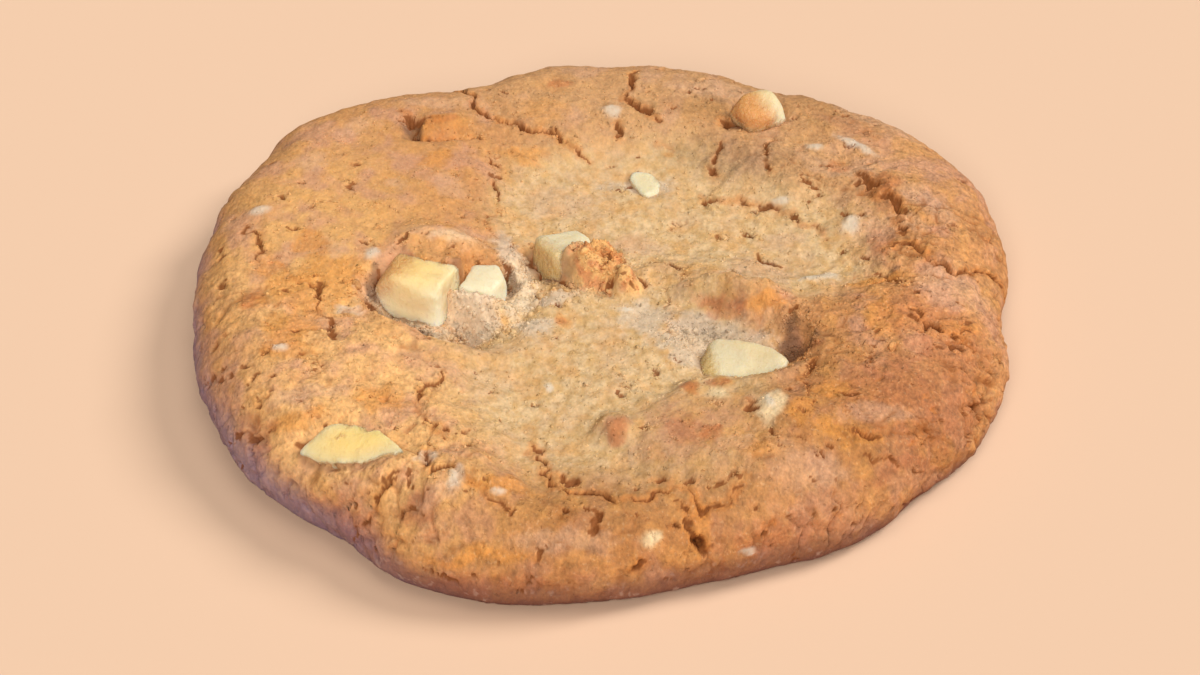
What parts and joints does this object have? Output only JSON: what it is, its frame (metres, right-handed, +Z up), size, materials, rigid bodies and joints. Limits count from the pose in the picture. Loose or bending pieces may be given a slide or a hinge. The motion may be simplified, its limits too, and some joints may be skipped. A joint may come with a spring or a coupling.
{
  "type": "white chocolate cookie",
  "caption": "Round flat-bottomed baked cookie with a cracked, uneven top, a sunk paler middle and chunks of white chocolate seated in it.",
  "frame": {"origin": "bottom centre of the bounding box, on the flat sole", "axes": "+Z up through the thickness, +X to the right and -Y towards the viewer of the picture"},
  "size_m": [0.0886, 0.0879, 0.0123],
  "materials": {
    "baked_dough": "matt, crumbly baked crust",
    "white_chocolate": "satin, faintly waxy"
  },
  "bodies": {
    "root": {"cookie_body": "baked_dough", "chunk_large": "white_chocolate", "chunk_beside": "white_chocolate", "chunk_edge": "white_chocolate", "chunk_pocket": "white_chocolate", "chunk_middle": "white_chocolate", "chunk_rim": "white_chocolate", "chunk_far": "white_chocolate"}
  },
  "joints": []
}
